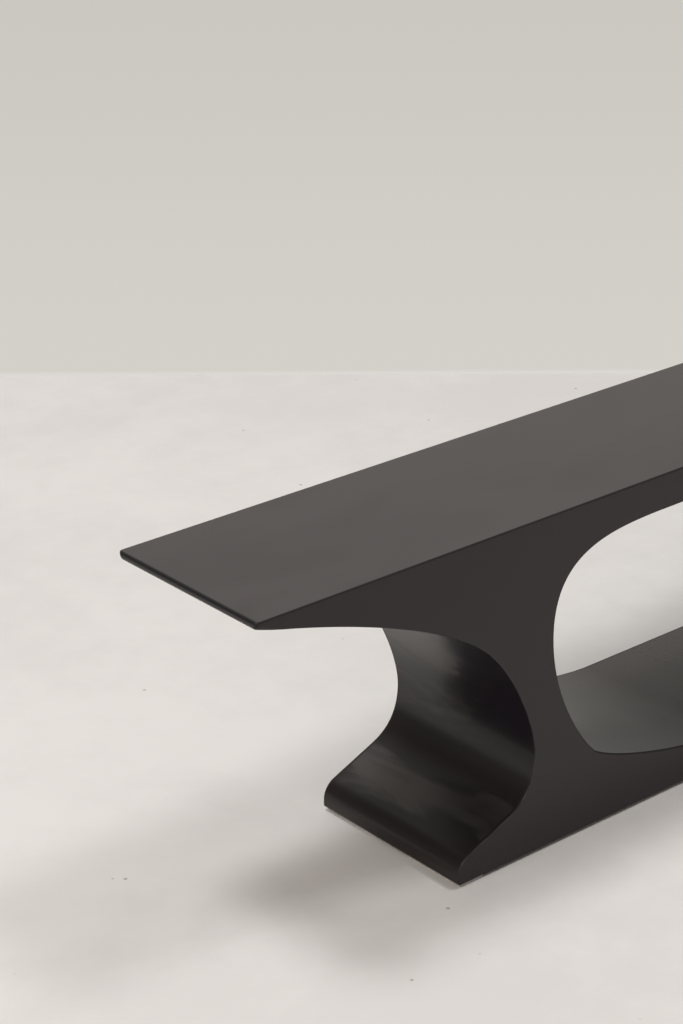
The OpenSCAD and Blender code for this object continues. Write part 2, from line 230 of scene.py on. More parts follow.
class SteelFinish(bpy.types.PropertyGroup):
    """The blackened and waxed finish of the steel, and the bare steel inside."""

    # Painted sheen: the seat's flat top is paler than the side plates, for the light it catches from
    # above
    seat_painted_sheen_tone: tone("Seat tone", "Colour of the seat", (0.0512, 0.0445, 0.0450))
    side_tone: tone("Side tone", "Colour of the side plates", (0.0098, 0.0050, 0.0068))
    # The deepest black is the steel's darkest patina, and also the painted shade of the dark arrises
    # and the nose's tip
    deep_black_and_shade_tone: tone("Deep tone", "Deepest black, also of ground edges", (0.0040, 0.0032, 0.0036))
    # The palest haze of the skins is partly painted reflection of the lit floor
    pale_haze_and_reflection_tone: tone("Haze tone", "Palest smoke on the rolled skins", (0.0575, 0.0500, 0.0488))
    brown_tone: tone("Brown tone", "Where the blackening has turned brown", (0.0082, 0.0036, 0.0028))
    violet_tone: tone("Violet tone", "Where the blackening has turned violet", (0.0066, 0.0034, 0.0084))
    # Worn rims, lighter: partly wear, partly a painted highlight along the arris; also the tone of mill
    # scale inside
    rubbed_and_highlight_tone: tone("Rubbed tone", "Where the plates' rims are rubbed", (0.085, 0.080, 0.075))
    smoke_and_reflection: amount("Smoke", "How pale the rolled skins are", 0.02)
    wax_ior: amount("Wax index", "Refractive index of the waxed surface", 1.43)
    plate_roughness: share("Plate roughness", "Roughness of the waxed plates", 0.34)
    skin_roughness: share("Skin roughness", "Roughness of the waxed rolled skins", 0.33)
    inner_change: share(
        "Inner change", "How much smoother the opening is at the rear, and rougher at the front", 0.08)
    clouds: amount("Clouds per metre", "How many there are in a metre", 7.0)
    mill_tone: tone("Mill tone", "Colour of the bare steel inside", (0.30, 0.30, 0.31))
    mill_roughness: share("Mill roughness", "Roughness of the bare steel inside", 0.48)


class FeltFinish(bpy.types.PropertyGroup):
    """The felt of the pads."""

    light_tone: tone("Light fibres", "Their colour", (0.50, 0.48, 0.45))
    dark_tone: tone("Dark fibres", "Their colour", (0.27, 0.26, 0.25))
    bulge: length("Bulge", "How far the pad's side stands out at mid height", 0.0004)
    raggedness: length("Raggedness", "How far the cut edge wanders", 0.00015)


class StageSettings(bpy.types.PropertyGroup):
    """Camera, floor, backdrop and lamps."""

    floor_tone: tone("Floor", "Colour of the floor", (0.775, 0.752, 0.723))
    mark_tone: tone("Floor marks", "Colour of the floor's specks and scuffs", (0.30, 0.25, 0.21))
    wall_tone: tone("Wall", "Colour of the backdrop high up", (0.585, 0.565, 0.528))
    # Painted light falloff: the backdrop is paler low down, where more light falls on it
    wall_foot_painted_light_tone: tone("Wall foot", "Colour of the backdrop low down", (0.655, 0.632, 0.592))
    wall_seam_tone: tone("Wall seam", "Its colour where it runs into the floor", (0.715, 0.697, 0.662))
    wall_fade: length("Wall fade", "Height over which its colour changes", 0.9)
    camera_beyond_nose: length("Camera along", "How far beyond the nose's tip it stands", 1.5861)
    camera_in_front: length("Camera in front", "How far in front of the middle it stands", 2.1273)
    camera_height: length("Camera height", "Height above the floor", 1.7022)
    camera_yaw: angle("Camera yaw", "Turn of the view from +Y towards +X", 40.479)
    camera_pitch: angle("Camera pitch", "How far the view looks down", 23.581)
    camera_roll: angle("Camera roll", "Tilt of the view", -0.097)
    focal_pixels: amount("Focal length", "Focal length, in pixels of the photograph", 2631.1)
    wall_distance: length("Wall distance", "Distance from the camera, on the level", 4.531)
    wall_turn: angle("Wall turn", "How far it is turned out of square with the view", -0.54)
    wall_blur: length("Wall blur", "Height over which it runs softly into the floor", 0.011)
    air_tone: tone("Air", "Colour of the light from all round", (1.0, 0.950, 0.910))
    low_glow: amount("Low glow", "Light from all round, near the level", 0.57)
    high_glow: amount("High glow", "Light from all round, from above", 0.25)
    dark_corner: share("Dark corner", "Share of it from the rear left", 0.45)
    lamp_tone: tone("Lamps", "Colour of the rear and the front lamp", (0.97, 0.985, 1.0))
    side_lamp_tone: tone("Side lamp's colour", "Colour of the low lamp", (1.0, 0.93, 0.87))
    rear_lamp: amount("Rear lamp", "Its power, over the rear of the bench", 300.0)
    front_lamp: amount("Front lamp", "Its power, over the front of the bench", 170.0)
    side_lamp: amount("Side lamp", "Its power, low down beyond the left end", 315.0)


class Wire:
    """The value on one socket of a material. Sums with it add Math nodes."""

    def __init__(self, shade, socket):
        self.shade = shade
        self.socket = socket

    def math(self, operation, *values):
        return self.shade.node("ShaderNodeMath", {"operation": operation}, dict(enumerate(values)))

    def __abs__(self):
        return self.math("ABSOLUTE", self)

    def __add__(self, other):
        return self.math("ADD", self, other)

    __radd__ = __add__

    def __sub__(self, other):
        return self.math("SUBTRACT", self, other)

    def __rsub__(self, other):
        return self.math("SUBTRACT", other, self)

    def __mul__(self, other):
        return self.math("MULTIPLY", self, other)

    __rmul__ = __mul__


class Shade:
    """The nodes of one material, or of the world."""

    def __init__(self, owner):
        owner.use_nodes = True
        self.owner = owner
        self.tree = owner.node_tree
        self.tree.nodes.clear()

    def node(self, kind, settings=None, values=None, output=0):
        """Adds a node: its settings first, then what each socket holds or is linked to."""
        made = self.tree.nodes.new(kind)
        for name, setting in (settings or {}).items():
            setattr(made, name, setting)
        for name, value in (values or {}).items():
            if isinstance(value, Wire):
                self.tree.links.new(value.socket, made.inputs[name])
            else:
                made.inputs[name].default_value = value
        return Wire(self, made.outputs[output]) if made.outputs else None

    def place(self, turn=(0.0, 0.0, 0.0), scale=(1.0, 1.0, 1.0), shift=(0.0, 0.0, 0.0)):
        """The point on the bench, in metres, turned, stretched and shifted."""
        point = self.node("ShaderNodeTexCoord", output="Object")
        return self.node(
            "ShaderNodeMapping", {"vector_type": "POINT"},
            {"Vector": point, "Location": shift, "Rotation": turn, "Scale": scale})

    def along(self, axis):
        """The point's distance along one axis of the bench, in metres."""
        point = self.node("ShaderNodeTexCoord", output="Object")
        return self.node("ShaderNodeSeparateXYZ", {}, {"Vector": point}, output=axis)

    def noise(self, place, scale, detail=2.0, roughness=0.5, distortion=0.0):
        """Smooth noise from 0 to 1, with so many swells in a metre."""
        return self.node(
            "ShaderNodeTexNoise", {"noise_dimensions": "3D", "normalize": True},
            {"Vector": place, "Scale": scale, "Detail": detail, "Roughness": roughness,
             "Distortion": distortion})

    def step(self, value, low, high, to_low=0.0, to_high=1.0):
        """Rises softly from to_low to to_high while the value goes from low to high."""
        return self.node(
            "ShaderNodeMapRange", {"interpolation_type": "SMOOTHSTEP", "clamp": True},
            {"Value": value, "From Min": low, "From Max": high, "To Min": to_low, "To Max": to_high})

    def mix(self, factor, first, second):
        """Blends two colours."""
        return self.node(
            "ShaderNodeMix", {"data_type": "RGBA", "blend_type": "MIX", "clamp_factor": True},
            {0: factor, 6: opaque(first), 7: opaque(second)}, output=2)

    def bump(self, height, distance, below=None):
        """Tilts the surface by a height from 0 to 1 that stands for a distance in metres."""
        values = {"Strength": 1.0, "Distance": distance, "Height": height}
        if below:
            values["Normal"] = below
        return self.node("ShaderNodeBump", {}, values)

    def principled(self, values):
        """Ends the material in one principled shader."""
        surface = self.node("ShaderNodeBsdfPrincipled", {}, values)
        self.node("ShaderNodeOutputMaterial", {}, {"Surface": surface})
        return self.owner


def opaque(value):
    """A colour with full alpha, or the wire as it is."""
    return value if isinstance(value, Wire) else (*value, 1.0)


def swing(noise, reach):
    """Noise from 0 to 1, moved to swing about nothing and stretched to a reach."""
    return (noise - 0.5) * reach


def blackened_plate(shade):
    """Blackened and waxed plate: even, with faint clouds, and paler on the flat of the seat, a painted
    sheen for the light the top catches.
    """
    finish = bpy.context.scene.steel_finish
    size = bpy.context.scene.bench_sizes
    drawn = shade.place((0.2, 0.0, 0.3), (0.5, 1.0, 1.0))
    clouds = shade.noise(drawn, finish.clouds, 5.0, 0.55, 0.7)
    tints = shade.noise(shade.place(shift=(0.6, 5.2, 2.9)), 4.2, 3.0, 0.55, 0.5)
    # Painted sheen: the flat top takes a paler colour than the sides
    painted_sheen_on_top = shade.step(shade.along("Z"), size.seat_height - size.seat_arris, size.seat_height)
    steel = shade.mix(painted_sheen_on_top, finish.side_tone, finish.seat_painted_sheen_tone)
    darkened = shade.step(clouds, 0.60, 0.35, 0.0, 0.18)
    browned = shade.step(tints, 0.56, 0.80, 0.0, 0.3)
    steel = shade.mix(darkened, steel, finish.deep_black_and_shade_tone)
    steel = shade.mix(browned, steel, finish.brown_tone)
    return waxed(shade, steel, clouds, finish.plate_roughness)


def blackened_skin(shade):
    """Blackened and waxed rolled skin, with smoky clouds that were wiped across the bench.

    The black has pooled brown in the instep and along the toe, and stands violet in the front
    half of the upper C. Its paler and darker bands by height and across the bench are partly smoky
    patina and partly painted reflection: pale where the skin mirrors the lit floor, dark where it
    mirrors the floor's shadow, the foot and the overhang's underside. Between the brown and the
    violet, and inside the opening, it is paler. The steps go by height and by distance across the
    bench, in metres.
    """
    finish = bpy.context.scene.steel_finish
    wiped = shade.place((-0.35, 0.0, 0.0), (1.0, 0.35, 1.0))
    clouds = shade.noise(wiped, finish.clouds, 3.0, 0.5, 0.6)
    stroked_place = shade.place((-0.5, 0.15, 0.0), (1.0, 0.22, 1.0), (0.7, 0.3, 0.1))
    strokes = shade.noise(stroked_place, 28.0, 4.0, 0.58, 0.6)
    wander = swing(shade.noise(wiped, 9.0, 2.0, 0.5, 0.3), 0.07)
    height = shade.along("Z") + wander + swing(strokes, 0.035)
    across_bench = shade.along("Y") + wander
    front = shade.step(across_bench + swing(strokes, 0.26) + swing(clouds, 0.08), -0.004, -0.024)
    outer = shade.step(abs(shade.along("X")), 0.462, 0.475)

    clouded = swing(clouds, shade.step(height, 0.060, 0.150, 0.45, 1.5))
    stroked = swing(strokes, shade.step(height, 0.095, 0.150, 0.4, 2.4))
    # Smoky patina and painted reflection: the bands below stand partly for floor, shadow and overhang
    # mirrored in the skin
    smoke_and_reflection = clouded + stroked + finish.smoke_and_reflection
    low_down = shade.step(height, 0.130, 0.085)
    smoke_and_reflection = smoke_and_reflection + low_down * shade.step(across_bench, 0.09, -0.07, 0.15, -0.65)
    for low, high, change in SMOKE_AND_REFLECTION_BY_HEIGHT:
        smoke_and_reflection = smoke_and_reflection + shade.step(height, low, high, 0.0, change)
    smoke_and_reflection = smoke_and_reflection + front * shade.step(height, 0.136, 0.156, 0.0, -0.8)
    smoke_and_reflection = smoke_and_reflection + front * shade.step(height, 0.250, 0.300, 0.0, 0.15)
    above_foot = shade.step(height, 0.090, 0.115)
    smoke_and_reflection = smoke_and_reflection + shade.step(across_bench, 0.0, -0.12, 0.0, -0.35) * above_foot

    inner_smoke = swing(clouds, 0.5) + swing(strokes, 0.7)
    inner_smoke = inner_smoke + shade.step(across_bench, 0.04, -0.08, 1.15, 0.45)
    smoke_and_reflection = shade.step(smoke_and_reflection * outer + inner_smoke * (1.0 - outer), -0.25, 1.25)
    # Dark to pale: partly smoky patina, partly painted reflection
    steel = shade.mix(smoke_and_reflection, finish.deep_black_and_shade_tone, finish.pale_haze_and_reflection_tone)
    in_instep = shade.step(height, 0.062, 0.080) * shade.step(height, 0.110, 0.092) * 0.8
    along_toe = shade.step(height, 0.052, 0.040, 0.0, 0.4)
    steel = shade.mix((in_instep + along_toe) * outer, steel, finish.brown_tone)
    violet = front * shade.step(height, 0.132, 0.152, 0.0, 0.8) * outer
    steel = shade.mix(violet, steel, finish.violet_tone)
    wiping = shade.step(across_bench, 0.05, -0.07, -finish.inner_change, finish.inner_change)
    roughness = finish.skin_roughness + (1.0 - outer) * wiping
    return waxed(shade, steel, smoke_and_reflection, roughness)


def waxed(shade, steel, clouds, roughness):
    """Ends a blackened steel: its edges, with their painted highlight and painted shade, its wax and
    its slight unevenness.
    """
    finish = bpy.context.scene.steel_finish
    edge = shade.node("ShaderNodeAttribute", {"attribute_name": EDGE}, output="Fac")
    # Worn rims, lighter in patches: partly wear, partly a painted highlight along the arris
    rubbed_and_lit = shade.step(shade.noise(shade.place(), 45.0, 3.0), 0.30, 0.75, 0.03, 0.35)
    steel = shade.mix(shade.step(edge, 0.0, RUBBED_HIGHLIGHT) * rubbed_and_lit, steel, finish.rubbed_and_highlight_tone)
    # Painted shade: dark arrises and the nose's tip, for the dark lines that the eased edges show
    steel = shade.mix(shade.step(edge, 0.0, MATT_SHADE_EDGE), steel, finish.deep_black_and_shade_tone)
    grain = shade.noise(shade.place(scale=(1.0, 0.25, 1.0)), 620.0, 2.0, 0.6)
    swells = shade.noise(shade.place(shift=(3.1, 1.7, 0.4)), 2.6, 2.0, 0.5, 0.3)
    roughness = roughness + swing(clouds, 0.06) + swing(grain, 0.03)
    roughness = roughness + shade.step(edge, 0.0, MATT_SHADE_EDGE, 0.0, MATT_EDGE)
    roughness = roughness - shade.step(edge, MATT_SHADE_EDGE, SMOOTH_FROM, 0.0, MATT_EDGE)
    toothed = shade.bump(grain, WAX_GRAIN, shade.bump(swells, WAX_SWELLS))
    return shade.principled({
        "Base Color": steel, "Roughness": roughness, "IOR": finish.wax_ior, "Normal": toothed})


def mill_steel(shade):
    """Bare rolled steel, for the ribs inside the body."""
    finish = bpy.context.scene.steel_finish
    streaks = shade.noise(shade.place(scale=(1.0, 0.08, 1.0)), 160.0, 4.0, 0.6)
    scale = shade.noise(shade.place(shift=(1.3, 0.2, 4.4)), 18.0, 4.0, 0.6, 0.4)
    bare = shade.mix(shade.step(scale, 0.40, 0.62), finish.mill_tone, finish.rubbed_and_highlight_tone)
    return shade.principled({
        "Base Color": bare, "Metallic": 0.9, "Roughness": finish.mill_roughness + swing(streaks, 0.2),
        "Normal": shade.bump(streaks, MILL_STREAKS)})


def pressed_felt(shade):
    """Pressed grey felt with light and dark fibres."""
    finish = bpy.context.scene.felt_finish
    fibres = shade.noise(shade.place(scale=(1.0, 1.0, 0.4)), 1800.0, 3.0, 0.7, 1.2)
    tufts = shade.noise(shade.place(shift=(2.0, 0.0, 1.0)), 260.0, 3.0, 0.6)
    pale = shade.step(fibres * 0.6 + tufts * 0.4, 0.36, 0.62)
    felt = shade.mix(pale, finish.dark_tone, finish.light_tone)
    return shade.principled({
        "Base Color": felt, "Roughness": 0.95, "Sheen Weight": 0.25, "Sheen Roughness": 0.5,
        "Normal": shade.bump(fibres * 0.5 + tufts * 0.5, FELT_FIBRES)})


def pale_floor(shade):
    """A pale, matt floor with faint smudges, a few dark specks and short scuffs."""
    stage = bpy.context.scene.stage_settings
    smudges = shade.noise(shade.place(), 1.6, 4.0, 0.6, 0.4)
    dust = shade.noise(shade.place(shift=(4.0, 2.0, 0.0)), 14.0, 4.0, 0.65)
    clean = shade.step(smudges * 0.7 + dust * 0.3, 0.38, 0.60)
    paint = shade.mix(clean, tuple(SMUDGED * part for part in stage.floor_tone), stage.floor_tone)
    cells = shade.node(
        "ShaderNodeTexVoronoi", {"feature": "F1"}, {"Vector": shade.place(), "Scale": 16.0})
    few = shade.step(shade.noise(shade.place(shift=(7.0, 3.0, 0.0)), 5.0, 2.0), 0.40, 0.56)
    specks = shade.step(cells, 0.055, 0.025, 0.0, 0.7) * few
    paint = shade.mix(specks, paint, stage.mark_tone)
    scratches = shade.noise(shade.place((0.0, 0.0, 0.5), (1.0, 2.5, 1.0)), 16.0, 5.0, 0.7, 2.5)
    scuffs = shade.step(scratches, 0.66, 0.80, 0.0, 0.16) * few
    paint = shade.mix(scuffs, paint, stage.mark_tone)
    return shade.principled({"Base Color": paint, "Roughness": 0.75})


def pale_wall(shade):
    """A pale backdrop whose front alone shows, to the camera and in reflections.

    It is paler towards the floor, a painted light falloff. It casts no shadow and lights nothing.
    """
    stage = bpy.context.scene.stage_settings
    height = shade.along("Z")
    # Painted light falloff: paler towards the floor
    paint = shade.mix(shade.step(height, 0.0, stage.wall_fade), stage.wall_foot_painted_light_tone, stage.wall_tone)
    paint = shade.mix(shade.step(height, 0.0, stage.wall_blur), stage.wall_seam_tone, paint)
    painted = shade.node("ShaderNodeEmission", {}, {"Color": paint, "Strength": 1.0})
    clear = shade.node("ShaderNodeBsdfTransparent")
    behind = shade.node("ShaderNodeNewGeometry", output="Backfacing")
    direct, mirrored_in, seen_through = [
        shade.node("ShaderNodeLightPath", output=f"Is {ray} Ray")
        for ray in ("Camera", "Glossy", "Transmission")]
    seen = (direct + mirrored_in + seen_through) * (1.0 - behind)
    wall = shade.node("ShaderNodeMixShader", {}, {0: seen, 1: clear, 2: painted})
    shade.node("ShaderNodeOutputMaterial", {}, {"Surface": wall})
    return shade.owner


def studio_air(stage):
    """Soft light from all round: pale near the level, as from walls, and dimmer from above."""
    shade = Shade(bpy.data.worlds.new("soft studio"))
    way = shade.node("ShaderNodeTexCoord", output="Generated")
    along, over, height = [
        shade.node("ShaderNodeSeparateXYZ", {}, {"Vector": way}, output=axis) for axis in "XYZ"]
    glow = shade.step(height, 0.30, 0.55, stage.low_glow, stage.high_glow)
    to_rear_left = over * 0.68 - along * 0.73
    glow = glow * shade.step(to_rear_left, 0.45, 0.80, 1.0, stage.dark_corner)
    air = shade.node("ShaderNodeBackground", {}, {"Color": opaque(stage.air_tone), "Strength": glow})
    shade.node("ShaderNodeOutputWorld", {}, {"Surface": air})
    return shade.owner


def finish_of(name, make):
    """The material of that name, made the first time it is asked for."""
    return bpy.data.materials.get(name) or make(Shade(bpy.data.materials.new(name)))


def heading(rise):
    """The direction at an angle above the level, in u and z."""
    return np.array([math.cos(rise), math.sin(rise)])


def left_of(ways):
    """The directions turned a quarter to the left."""
    return np.stack([-ways[:, 1], ways[:, 0]], axis=1)


def station(u, z, way):
    """A point of the profile and the direction of travel there."""
    return np.array([u, z]), np.array(way)


def curve(start, start_way, end, end_way, start_full, end_full):
    """A smooth path between two points with given directions, as rows of point and direction."""
    reach = end - start
    leaving = start + start_full * reach.dot(start_way) * start_way
    coming = end - end_full * reach.dot(end_way) * end_way
    t = np.linspace(0.0, 1.0, CURVE_STEPS + 1)[:, None]
    s = 1.0 - t
    points = s**3 * start + 3 * s**2 * t * leaving + 3 * s * t**2 * coming + t**3 * end
    slopes = s**2 * (leaving - start) + 2 * s * t * (coming - leaving) + t**2 * (end - coming)
    return np.hstack([points, slopes / np.linalg.norm(slopes, axis=1, keepdims=True)])


def bend(centre, radius, start, turn):
    """A round path. The turn is positive to the left of the direction of travel."""
    turns = start + turn * np.linspace(0.0, 1.0, BEND_STEPS + 1)
    spokes = np.stack([np.cos(turns), np.sin(turns)], axis=1)
    return np.hstack([np.array(centre) + radius * spokes, math.copysign(1.0, turn) * left_of(spokes)])


def joined(*paths):
    """One path of several that meet end to end."""
    return np.vstack([paths[0]] + [path[1:] for path in paths[1:]])


def mirrored(path):
    """The same path at the other end of the bench, travelled the other way round."""
    return path[::-1] * np.array([-1.0, 1.0, 1.0, -1.0])


def cut_from(path, u):
    """The part of a path that lies beyond u."""
    first = int(np.argmax(path[:, 0] > u))
    part = (u - path[first - 1, 0]) / (path[first, 0] - path[first - 1, 0])
    cut = path[first - 1] + part * (path[first] - path[first - 1])
    return np.vstack([cut, path[first:]])


class Profile:
    """The bench's profile at one end, as paths in u and z."""

    def __init__(self, scene):
        size = scene.bench_sizes
        shape = scene.bench_profile
        self.half_length = size.bench_length / 2
        toe_u = shape.toe_inset
        waist_u = toe_u + shape.waist_depth
        cheek_u = waist_u + shape.cheek_gap
        down = (0.0, -1.0)
        inward = (1.0, 0.0)
        outward = (-1.0, 0.0)

        # Each station is a point of the profile, in u and z, and the direction of travel there
        nose = station(
            shape.nose_bottom_r * (1.0 - math.sin(shape.nose_fall)), size.seat_height - shape.nose_t,
            heading(-shape.nose_fall))
        haunch = station(
            waist_u - shape.haunch_run, size.seat_height - shape.haunch_drop,
            heading(-shape.haunch_fall))
        waist = station(waist_u, shape.waist_height, down)
        instep = station(
            toe_u + shape.instep_run, shape.instep_height, heading(math.pi + shape.foot_slope))
        ceiling = station(
            cheek_u + shape.ceiling_run, size.seat_height - shape.beam_depth, outward)
        cheek = station(cheek_u, shape.cheek_height, down)
        heel = station(cheek_u + shape.heel_run, shape.heel_height, heading(-shape.heel_slope))
        rail = station(cheek_u + shape.rail_run, shape.rail_height, inward)

        def run(name, start, end):
            """The curve of that name from one station to another."""
            full = [getattr(shape, f"{name}_full_{part}") for part in "ab"]
            return curve(*start, *end, *full)

        self.overhang = run("overhang", nose, haunch)
        self.leg = joined(run("upper_c", haunch, waist), run("lower_c", waist, instep))
        self.toe = self.toe_path(size, shape, instep)
        self.cheek = joined(run("corner", ceiling, cheek), run("cheek", cheek, heel))
        self.floor = run("floor", heel, rail)

    def toe_path(self, size, shape, instep):
        """From the instep over the toe's bend and its short upright face to its lower edge."""
        (start_u, start_z), _ = instep
        slope = shape.foot_slope
        bend_u = shape.toe_inset + shape.toe_r
        bend_z = start_z - shape.toe_r / math.cos(slope) - (start_u - bend_u) * math.tan(slope)
        over = bend([bend_u, bend_z], shape.toe_r, QUARTER + slope, QUARTER - slope)
        edge_r = shape.toe_edge_r
        under = bend([shape.toe_inset + edge_r, size.pad_t + edge_r], edge_r, math.pi, QUARTER)
        return np.vstack([np.hstack(instep), over, under])

    def along_x(self, path):
        """A path of the left end in x and z."""
        return path - np.array([self.half_length, 0.0, 0.0, 0.0])

    def both_ends(self, path):
        """A path of the left end in x and z, then its mirror image at the right end."""
        left = self.along_x(path)
        return np.vstack([left, mirrored(left)])

    def rim(self, start_u):
        """The outer profile in x and z, from start_u behind one nose round to the other."""
        return self.both_ends(joined(cut_from(self.overhang, start_u), self.leg, self.toe))

    def rail(self):
        """The floor of the opening in x and z, over its whole length."""
        return self.both_ends(self.floor)

    def opening(self):
        """The opening's outline in x and z."""
        return self.both_ends(joined(self.cheek, self.floor))


class Form:
    """The points, faces and corner normals of one piece, welded where points meet."""

    def __init__(self):
        self.index = {}
        self.points = []
        self.edge = []
        self.faces = []
        self.normals = []

    def point(self, place, edge):
        """Adds a point, or finds the one that is already there."""
        key = tuple(int(round(part / WELD)) for part in place)
        if key not in self.index:
            self.index[key] = len(self.points)
            self.points.append(Vector(place))
            self.edge.append(0.0)
        found = self.index[key]
        if abs(edge) > abs(self.edge[found]):
            self.edge[found] = edge
        return found

    def face(self, places, normals, edges):
        """Adds one face, turned so that it looks the way its normals point."""
        corners = []
        for place, normal, edge in zip(places, normals, edges):
            found = self.point(place, edge)
            if found not in [corner[0] for corner in corners]:
                corners.append((found, Vector(normal)))
        if len(corners) < 3:
            return
        around = [self.points[found] for found, _ in corners]
        area = Vector((0.0, 0.0, 0.0))
        for first, second in zip(around, around[1:] + around[:1]):
            area += (first - around[0]).cross(second - around[0])
        if area.length < WELD * WELD:
            return
        outward = sum((normal for _, normal in corners), Vector((0.0, 0.0, 0.0)))
        if area.dot(outward) < 0:
            corners.reverse()
        self.faces.append([found for found, _ in corners])
        self.normals.extend(normal.normalized() for _, normal in corners)

    def band(self, rows, normals, edges=None, closed=False):
        """Joins rows of points into a skin. A closed band joins the ends of each row too.

        Edges holds the marks of the rows, or of their points one by one.
        """
        count = len(rows[0])
        edges = edges or [0.0] * len(rows)
        marks = [mark if isinstance(mark, list) else [mark] * count for mark in edges]
        for low in range(len(rows) - 1):
            high = low + 1
            for i in range(count if closed else count - 1):
                j = (i + 1) % count
                self.face(*(
                    [grid[low][i], grid[low][j], grid[high][j], grid[high][i]]
                    for grid in (rows, normals, marks)))

    def flat(self, outline, normal, holes=()):
        """Fills a flat outline, but for its holes."""
        loops = [[Vector(place) for place in loop] for loop in (outline, *holes)]
        places = [place for loop in loops for place in loop]
        for corners in tessellate_polygon(loops):
            self.face([places[c] for c in corners], [normal] * 3, [0.0] * 3)

    def piece(self, name, node, material, slot=STEEL_SLOT):
        """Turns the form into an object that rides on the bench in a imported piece's stead."""
        mesh = bpy.data.meshes.new(name)
        mesh.from_pydata(self.points, [], self.faces)
        mesh.polygons.foreach_set("use_smooth", [True] * len(self.faces))
        mesh.normals_split_custom_set(self.normals)
        marks = mesh.attributes.new(EDGE, "FLOAT", "POINT")
        marks.data.foreach_set("value", self.edge)
        mesh.materials.append(material)
        made = bpy.data.objects.new(name, mesh)
        bpy.context.scene.collection.objects.link(made)
        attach(made, BODY)
        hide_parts(node)
        return made


def across(places, y=0.0):
    """Points or directions in x and z, with the same part across the bench."""
    return [(x, y, z) for x, z in places]


def eased_edge(form, path, into, face, radius, plumb_ends, mark):
    """The edge of a side plate with its outer arris eased to a radius, and its rows of points.

    Into points from the edge into the plate. Plumb ends stay in line over their first points.
    The mark says how the arris is painted: worn and lighter with a painted highlight, or dark with
    painted shade.
    """
    size = bpy.context.scene.bench_sizes
    outer_y = face * size.bench_width / 2
    inner_y = outer_y - face * size.side_plate_t
    inset_ways = into.copy()
    if plumb_ends:
        for end in (0, -1):
            inset_ways[end] = np.array([0.0, 1.0 / into[end, 1]])
    rows = [across(path[:, :2], inner_y)]
    normals = [across(-into)]
    edges = [0.0]
    for step in range(ARRIS_STEPS + 1):
        turn = QUARTER * step / ARRIS_STEPS
        inset = radius * (1.0 - math.cos(turn))
        y = outer_y - face * radius * (1.0 - math.sin(turn))
        points = path[:, :2] + inset * inset_ways
        rows.append(across(points, y))
        normals.append(across(-into * math.cos(turn), face * math.sin(turn)))
        edges.append(mark * math.sin(2 * turn))
    form.band(rows, normals, edges, closed=not plumb_ends)
    return rows


def side_plate(face):
    """One side plate, cut to the whole profile, with its outer edges eased."""
    size = bpy.context.scene.bench_sizes
    profile = Profile(bpy.context.scene)
    form = Form()
    rim = profile.rim(size.nose_depth)
    hole = profile.opening()
    # The outer rims are worn lighter with a painted highlight; the opening's rims take a painted dark
    # line
    rim_rows = eased_edge(form, rim, left_of(rim[:, 2:]), face, size.arris, True, RUBBED_HIGHLIGHT)
    hole_rows = eased_edge(form, hole, -left_of(hole[:, 2:]), face, size.seat_arris, False, MATT_SHADE_EDGE)

    top_z = size.seat_height - size.seat_plate_t
    for which, out in ((0, -face), (-1, face)):
        row = rim_rows[which]
        y = row[0][1]
        shoulders = [(row[-1][0], y, top_z), (row[0][0], y, top_z)]
        form.flat(row + shoulders, (0, out, 0), [hole_rows[which]])
    left_x = rim[0, 0]
    inner_y = rim_rows[0][0][1]
    outer_y = rim_rows[-1][0][1]
    form.flat([(x, y, top_z) for x, y in (
        (left_x, inner_y), (-left_x, inner_y), (-left_x, outer_y), (left_x, outer_y))], (0, 0, 1))
    for end, x in ((0, left_x), (-1, -left_x)):
        butt = [row[end] for row in rim_rows]
        form.flat(butt + [(x, outer_y, top_z), (x, inner_y, top_z)], (x, 0, 0))
    return form


def seat_plate():
    """The seat plate, with its two long upper edges eased."""
    size = bpy.context.scene.bench_sizes
    form = Form()
    half_width = size.bench_width / 2
    low_z = size.seat_height - size.seat_plate_t
    end_x = size.bench_length / 2 - size.nose_depth
    section = [(-half_width, low_z)]
    ways = [(-1.0, 0.0)]
    edges = [0.0]
    for face in (FRONT, REAR):
        turns = np.linspace(0.0, QUARTER, ARRIS_STEPS + 1)
        turns = turns if face == FRONT else turns[::-1]
        for turn in turns:
            section.append((
                face * (half_width - size.seat_arris * (1.0 - math.cos(turn))),
                size.seat_height - size.seat_arris * (1.0 - math.sin(turn))))
            ways.append((face * math.cos(turn), math.sin(turn)))
            # Painted shade along the seat's long arrises
            edges.append(MATT_SHADE_EDGE * math.sin(2 * turn))
    section.append((half_width, low_z))
    ways.append((1.0, 0.0))
    edges.append(0.0)
    rows = [[(x, y, z) for x in (-end_x, end_x)] for y, z in section]
    normals = [[(0.0, y, z)] * 2 for y, z in ways]
    form.band(rows, normals, edges)
    form.flat([rows[0][0], rows[0][1], rows[-1][1], rows[-1][0]], (0, 0, -1))
    for end, x in ((0, -1.0), (1, 1.0)):
        form.flat([row[end] for row in rows], (x, 0, 0))
    return form


def rounded(depth, radius):
    """How far a rounded edge has drawn in at a depth behind its tip."""
    return radius - math.sqrt(max(0.0, radius**2 - max(0.0, radius - depth)**2))


